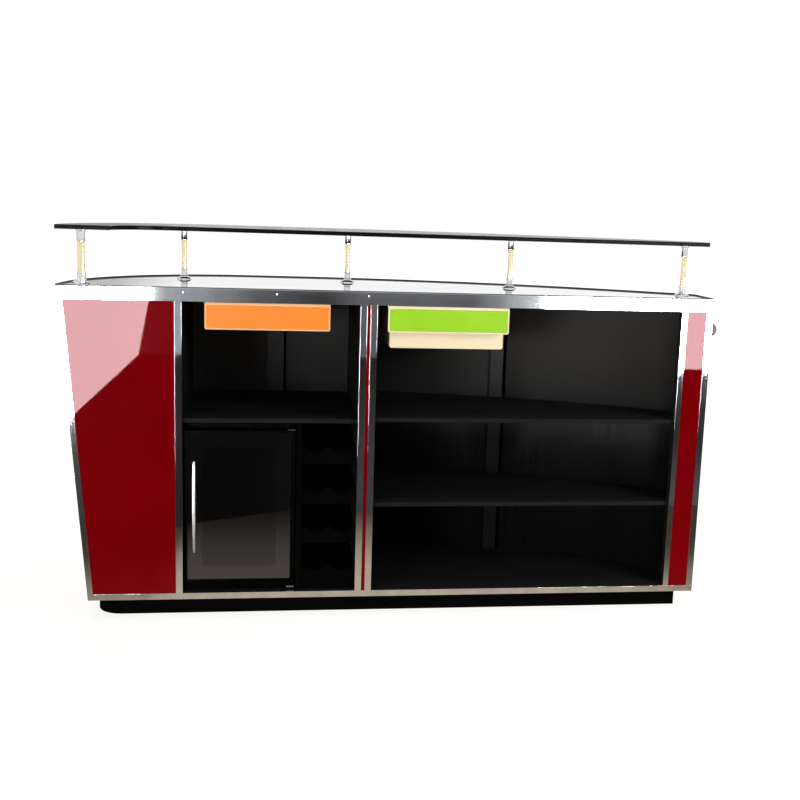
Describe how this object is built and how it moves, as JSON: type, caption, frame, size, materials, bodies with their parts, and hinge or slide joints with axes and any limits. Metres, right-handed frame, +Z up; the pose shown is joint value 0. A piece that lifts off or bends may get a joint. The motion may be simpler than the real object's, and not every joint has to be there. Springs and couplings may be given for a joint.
{
  "type": "bar counter with shelves",
  "caption": "Curved red bar counter with pale worktop, raised glass shelf on posts, open shelves, bottle rack, built-in wine cooler with hinged door and sliding drawers.",
  "frame": {"origin": "centre of the bounding box on the floor", "axes": "+X along the counter to the right seen from the operator side, +Y towards the customer side, +Z up"},
  "size_m": [1.884, 0.528, 1.112],
  "materials": {
    "black_board": "satin black stain",
    "gloss_red": "high gloss",
    "polished_metal": "polished",
    "pale_laminate": "glossy laminate",
    "dark_glass": "polished",
    "post_metal": "polished with brass-coloured sleeve",
    "cream_plastic": "satin",
    "orange_plastic": "satin",
    "green_plastic": "satin",
    "steel": "plain",
    "cooler_black": "satin",
    "mirror_pane": "polished",
    "silver_bar": "satin",
    "cast_grey": "matt"
  },
  "bodies": {
    "counter": {"plinth": "black_board", "floor_panel": "black_board", "shell_left": "black_board", "shell_middle": "black_board", "shell_right": "black_board", "upright_left": "black_board", "divider": "black_board", "end_panel_right": "black_board", "stile_right": "black_board", "backing_left": "black_board", "shelf_left": "black_board", "shelf_right_high": "black_board", "shelf_right_middle": "black_board", "rack_partition": "black_board", "rack_bed_1": "black_board", "rack_bed_2": "black_board", "rack_bed_3": "black_board", "rack_bed_4": "black_board", "skin_left": "gloss_red", "skin_middle": "gloss_red", "skin_right": "gloss_red", "panel_rear_left": "gloss_red", "panel_divider": "gloss_red", "panel_rear_right": "gloss_red", "skin_end_right": "gloss_red", "rail_front": "polished_metal", "seam_strip_left": "polished_metal", "seam_strip_right": "polished_metal", "trim_left_end": "polished_metal", "rail_left": "polished_metal", "trim_bay_left": "polished_metal", "rail_main": "polished_metal", "trim_divider_left": "polished_metal", "trim_divider_right": "polished_metal", "trim_bay_right": "polished_metal", "trim_right_end": "polished_metal", "band_rear": "polished_metal", "band_front": "polished_metal", "worktop": "pale_laminate", "raised_shelf": "dark_glass", "post_end_rear": "post_metal", "post_end_front": "post_metal", "post_corner": "post_metal", "post_middle_left": "post_metal", "post_middle_right": "post_metal", "post_right": "post_metal", "drawer_orange_runner": "steel", "drawer_green_runner": "steel", "cooler_hinge_high": "steel", "cooler_hinge_low": "steel", "cooler_cabinet": "cooler_black", "cooler_wire_shelf": "silver_bar", "bottle_opener": "cast_grey"},
    "drawer_orange": {"drawer_orange_tray": "cream_plastic", "drawer_orange_insert": "orange_plastic"},
    "drawer_green": {"drawer_green_tray": "cream_plastic", "drawer_green_insert": "green_plastic"},
    "cooler_door": {"cooler_door_frame": "cooler_black", "cooler_door_pane": "mirror_pane", "cooler_handle": "silver_bar"}
  },
  "joints": [
    {"name": "drawer_orange_slide", "type": "slide", "parent": "counter", "child": "drawer_orange", "axis": [0, -1, 0], "range_m": [0, 0.28]},
    {"name": "drawer_green_slide", "type": "slide", "parent": "counter", "child": "drawer_green", "axis": [0, -1, 0], "range_m": [0, 0.26]},
    {"name": "cooler_door_hinge", "type": "hinge", "parent": "counter", "child": "cooler_door", "pos_m": [-0.298, -0.234, 0.316], "axis": [0, 0, 1], "range_deg": [0, 100]}
  ]
}
